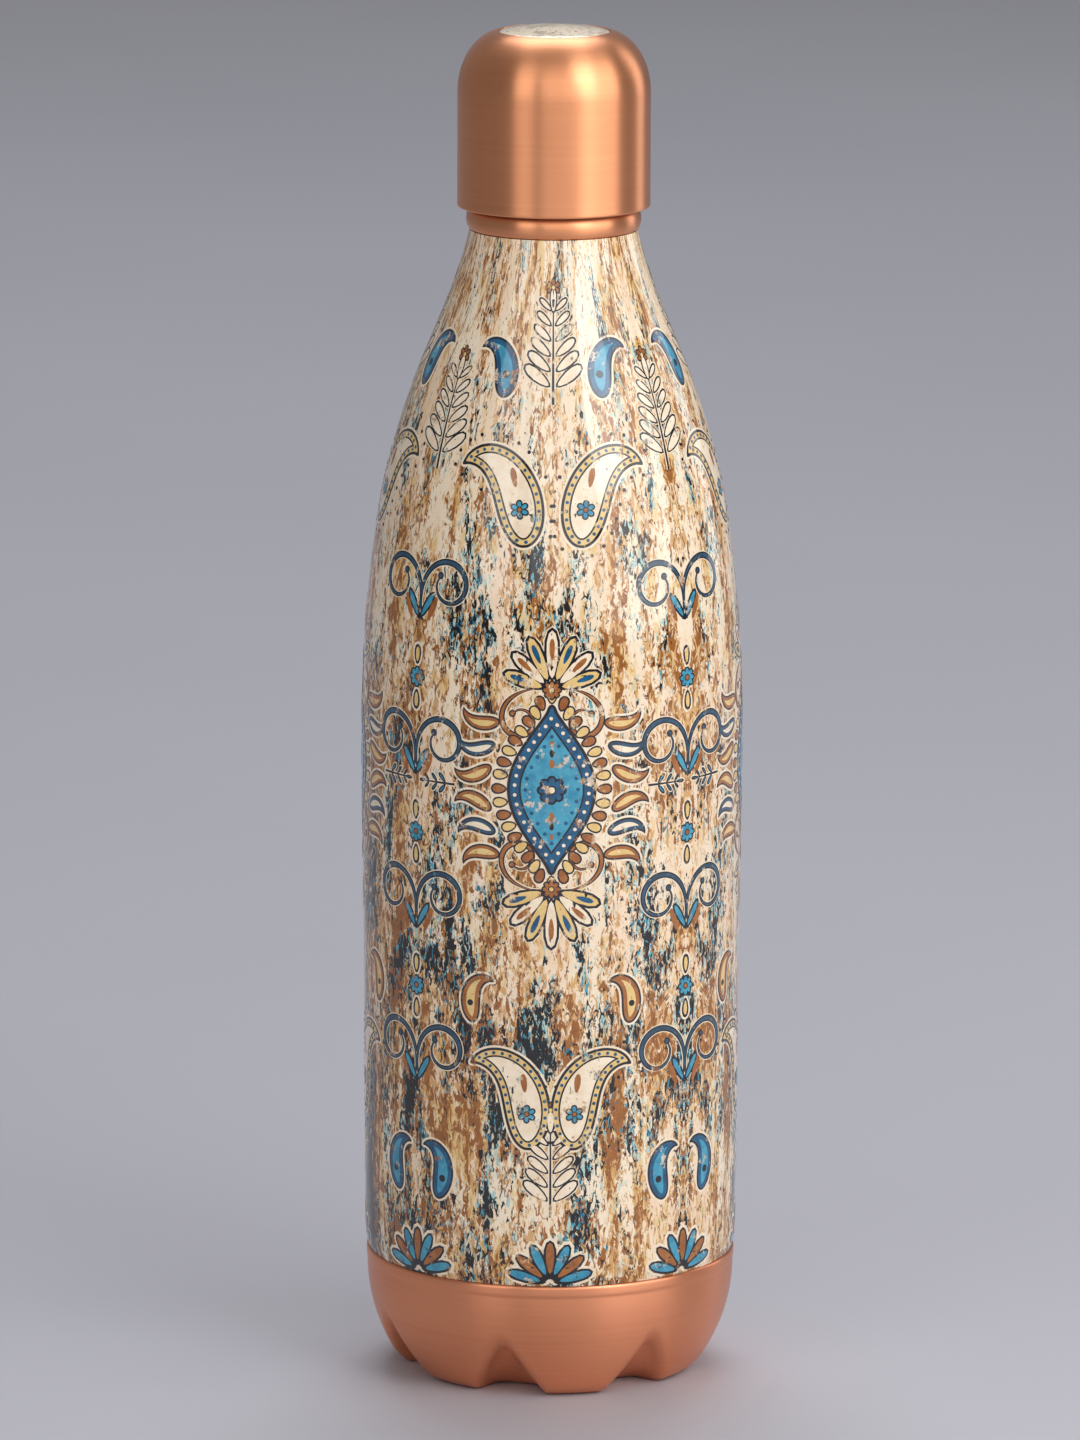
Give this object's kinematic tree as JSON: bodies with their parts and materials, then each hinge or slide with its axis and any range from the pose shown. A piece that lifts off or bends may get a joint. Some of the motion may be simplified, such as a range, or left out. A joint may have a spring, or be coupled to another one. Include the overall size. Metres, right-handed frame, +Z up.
{
  "type": "water bottle",
  "caption": "Copper water bottle with a printed straight body, long curved shoulders, a footed base and a domed screw cap with a gasket.",
  "frame": {"origin": "on the bottle's axis, at the height of the feet's flat undersides", "axes": "+Z up along the bottle's axis, -Y towards the side that the picture shows, +X to that view's right"},
  "size_m": [0.078, 0.078, 0.2792],
  "materials": {
    "copper_brushed": "satin brushed copper",
    "copper_polished": "drawn, lightly polished copper",
    "printed_film": "glossy lacquered print, cream with brown, teal and black",
    "liner_plastic": "moulded satin",
    "silicone": "matt translucent white"
  },
  "bodies": {
    "bottle": {"body_shell": "copper_polished", "printed_wrap": "printed_film", "base_cup": "copper_brushed", "neck_collar": "copper_brushed", "threaded_sleeve": "copper_polished"},
    "seal": {"cap_gasket": "silicone"},
    "cap": {"cap_shell": "copper_brushed", "cap_top_disc": "printed_film", "cap_liner": "liner_plastic", "cap_seal_disc": "copper_polished"}
  },
  "joints": [
    {"name": "cap_lift", "type": "slide", "parent": "bottle", "child": "seal", "axis": [0, 0, 1], "range_m": [0, 0.0201]},
    {"name": "cap_turn", "type": "hinge", "parent": "seal", "child": "cap", "pos_m": [0, 0, 0.25], "axis": [0, 0, 1], "range_deg": [0, 1800]}
  ],
  "couplings": [
    {"joint": "cap_lift", "follows": "cap_turn", "m_per_rad": 0.00063662}
  ]
}
